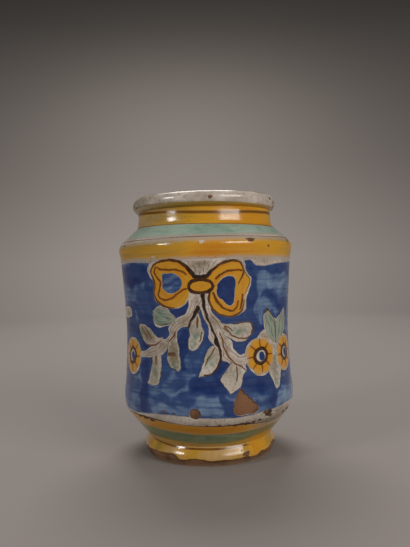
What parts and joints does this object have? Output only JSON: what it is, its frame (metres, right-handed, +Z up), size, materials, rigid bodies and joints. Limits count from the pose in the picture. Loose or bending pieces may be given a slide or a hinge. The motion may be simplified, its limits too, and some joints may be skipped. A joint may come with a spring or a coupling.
{
  "type": "albarello drug jar",
  "caption": "Waisted drug jar of tin-glazed earthenware with sloping shoulder, short neck, rolled rim and spreading foot, painted with a bow, leaf sprays and flowers on a blue ground.",
  "frame": {"origin": "middle of the foot, on the surface that the jar stands on", "axes": "+Z up along the jar's turning axis, the painted bow of the pictured side faces -Y"},
  "size_m": [0.1388, 0.1388, 0.2],
  "materials": {
    "earthenware": "bare fired clay, matt",
    "white_glaze": "tin glaze, glossy, speckled and crazed",
    "yellow_glaze": "antimony yellow under gloss, streaky",
    "copper_green": "thin copper green wash under gloss",
    "cobalt_blue": "brushed cobalt blue under gloss",
    "brown_line": "iron brown line under gloss",
    "dark_line": "manganese brown-black line under gloss"
  },
  "bodies": {
    "root": {"clay_body": "earthenware", "lining_glaze": "white_glaze", "rim_glaze": "white_glaze", "neck_glaze": "yellow_glaze", "shoulder_glaze": "white_glaze", "wall_glaze": "white_glaze", "base_glaze": "white_glaze", "foot_glaze": "yellow_glaze", "neck_line": "brown_line", "shoulder_green": "copper_green", "shoulder_line": "dark_line", "shoulder_band": "yellow_glaze", "cobalt_ground": "cobalt_blue", "bow_ribbon": "yellow_glaze", "bow_lines": "brown_line", "stems": "dark_line", "green_leaves": "copper_green", "leaf_veins": "brown_line", "flower_petals": "yellow_glaze", "flower_rings": "brown_line", "flower_eyes": "cobalt_blue", "base_line": "brown_line", "base_yellow": "yellow_glaze", "base_green": "copper_green", "foot_line": "brown_line"}
  },
  "joints": []
}
